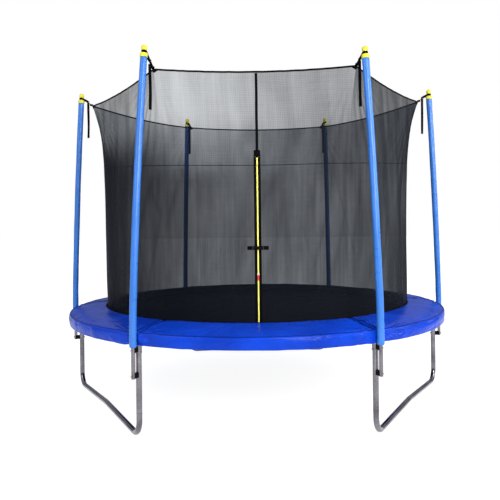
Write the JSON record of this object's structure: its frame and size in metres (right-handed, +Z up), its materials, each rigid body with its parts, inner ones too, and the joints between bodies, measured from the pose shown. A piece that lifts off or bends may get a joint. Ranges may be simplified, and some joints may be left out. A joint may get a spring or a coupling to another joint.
{
  "type": "trampoline",
  "caption": "Round garden trampoline on W-shaped legs, with a spring pad, a safety net on padded poles and a zipped door.",
  "frame": {"origin": "on the ground, under the centre of the jumping mat", "axes": "+Z up; +X to the right when facing the door; the zipped door is on the -Y side"},
  "size_m": [3.152, 3.054, 2.522],
  "materials": {
    "galvanised_steel": "galvanised tube, satin with soft streaks",
    "spring_steel": "zinc-plated wire",
    "zinc_fasteners": "bright zinc",
    "sleeve_pvc": "blue PVC cover over foam, soft sheen",
    "cap_plastic": "yellow moulded plastic",
    "black_plastic": "black moulded plastic",
    "pad_vinyl": "glossy blue PVC sheet with fine grain and folds",
    "mat_fabric": "woven black polypropylene",
    "net_mesh": "knitted black polyethylene net, see-through",
    "webbing": "black woven polyester webbing",
    "zip_tape": "black woven zip tape",
    "zip_teeth": "yellow nylon coil",
    "slider_metal": "die-cast, bright",
    "puller_red": "red moulded plastic"
  },
  "bodies": {
    "frame": {"top_rail_1": "galvanised_steel", "top_rail_2": "galvanised_steel", "top_rail_3": "galvanised_steel", "top_rail_4": "galvanised_steel", "top_rail_5": "galvanised_steel", "top_rail_6": "galvanised_steel", "rail_sockets": "galvanised_steel", "leg_1": "galvanised_steel", "leg_2": "galvanised_steel", "leg_3": "galvanised_steel", "leg_4": "galvanised_steel", "leg_5": "galvanised_steel", "leg_6": "galvanised_steel", "w_base_1": "galvanised_steel", "w_base_2": "galvanised_steel", "w_base_3": "galvanised_steel", "pole_1": "galvanised_steel", "pole_2": "galvanised_steel", "pole_3": "galvanised_steel", "pole_4": "galvanised_steel", "pole_5": "galvanised_steel", "pole_6": "galvanised_steel", "pole_sleeve_1": "sleeve_pvc", "pole_sleeve_2": "sleeve_pvc", "pole_sleeve_3": "sleeve_pvc", "pole_sleeve_4": "sleeve_pvc", "pole_sleeve_5": "sleeve_pvc", "pole_sleeve_6": "sleeve_pvc", "pole_cap_1": "cap_plastic", "pole_cap_2": "cap_plastic", "pole_cap_3": "cap_plastic", "pole_cap_4": "cap_plastic", "pole_cap_5": "cap_plastic", "pole_cap_6": "cap_plastic", "clamp_spacers": "black_plastic", "frame_bolts": "zinc_fasteners", "pad_1": "pad_vinyl", "pad_2": "pad_vinyl", "pad_3": "pad_vinyl", "pad_4": "pad_vinyl", "pad_5": "pad_vinyl", "pad_6": "pad_vinyl", "mat_rings": "spring_steel", "springs": "spring_steel", "net_panel_1": "net_mesh", "net_panel_2": "net_mesh", "net_panel_3": "net_mesh", "net_panel_4": "net_mesh", "net_panel_5": "net_mesh", "net_panel_6": "net_mesh", "net_bindings": "webbing", "net_straps": "webbing", "strap_tails": "webbing", "zip_tapes": "zip_tape", "zip_coil": "zip_teeth", "buckle_housing": "black_plastic"},
    "mat": {"jump_mat": "mat_fabric"},
    "zip_slider": {"zip_slider": "slider_metal"},
    "zip_puller": {"zip_puller": "puller_red"},
    "buckle_clip": {"buckle_clip": "black_plastic"}
  },
  "joints": [
    {"name": "mat_bounce", "type": "slide", "parent": "frame", "child": "mat", "axis": [0, 0, 1], "range_m": [-0.3, 0], "stiffness_N_per_m": 4500, "springref_m": 0.03},
    {"name": "zip_slide", "type": "slide", "parent": "frame", "child": "zip_slider", "axis": [0, 0.0482, 0.9988], "range_m": [-0.26, 0.75]},
    {"name": "puller_swing", "type": "hinge", "parent": "zip_slider", "child": "zip_puller", "pos_m": [0.015, -1.22656, 1.02634], "axis": [-1, 0, 0], "range_deg": [0, 150]},
    {"name": "buckle_release", "type": "slide", "parent": "frame", "child": "buckle_clip", "axis": [1, 0, 0], "range_m": [0, 0.03]}
  ]
}
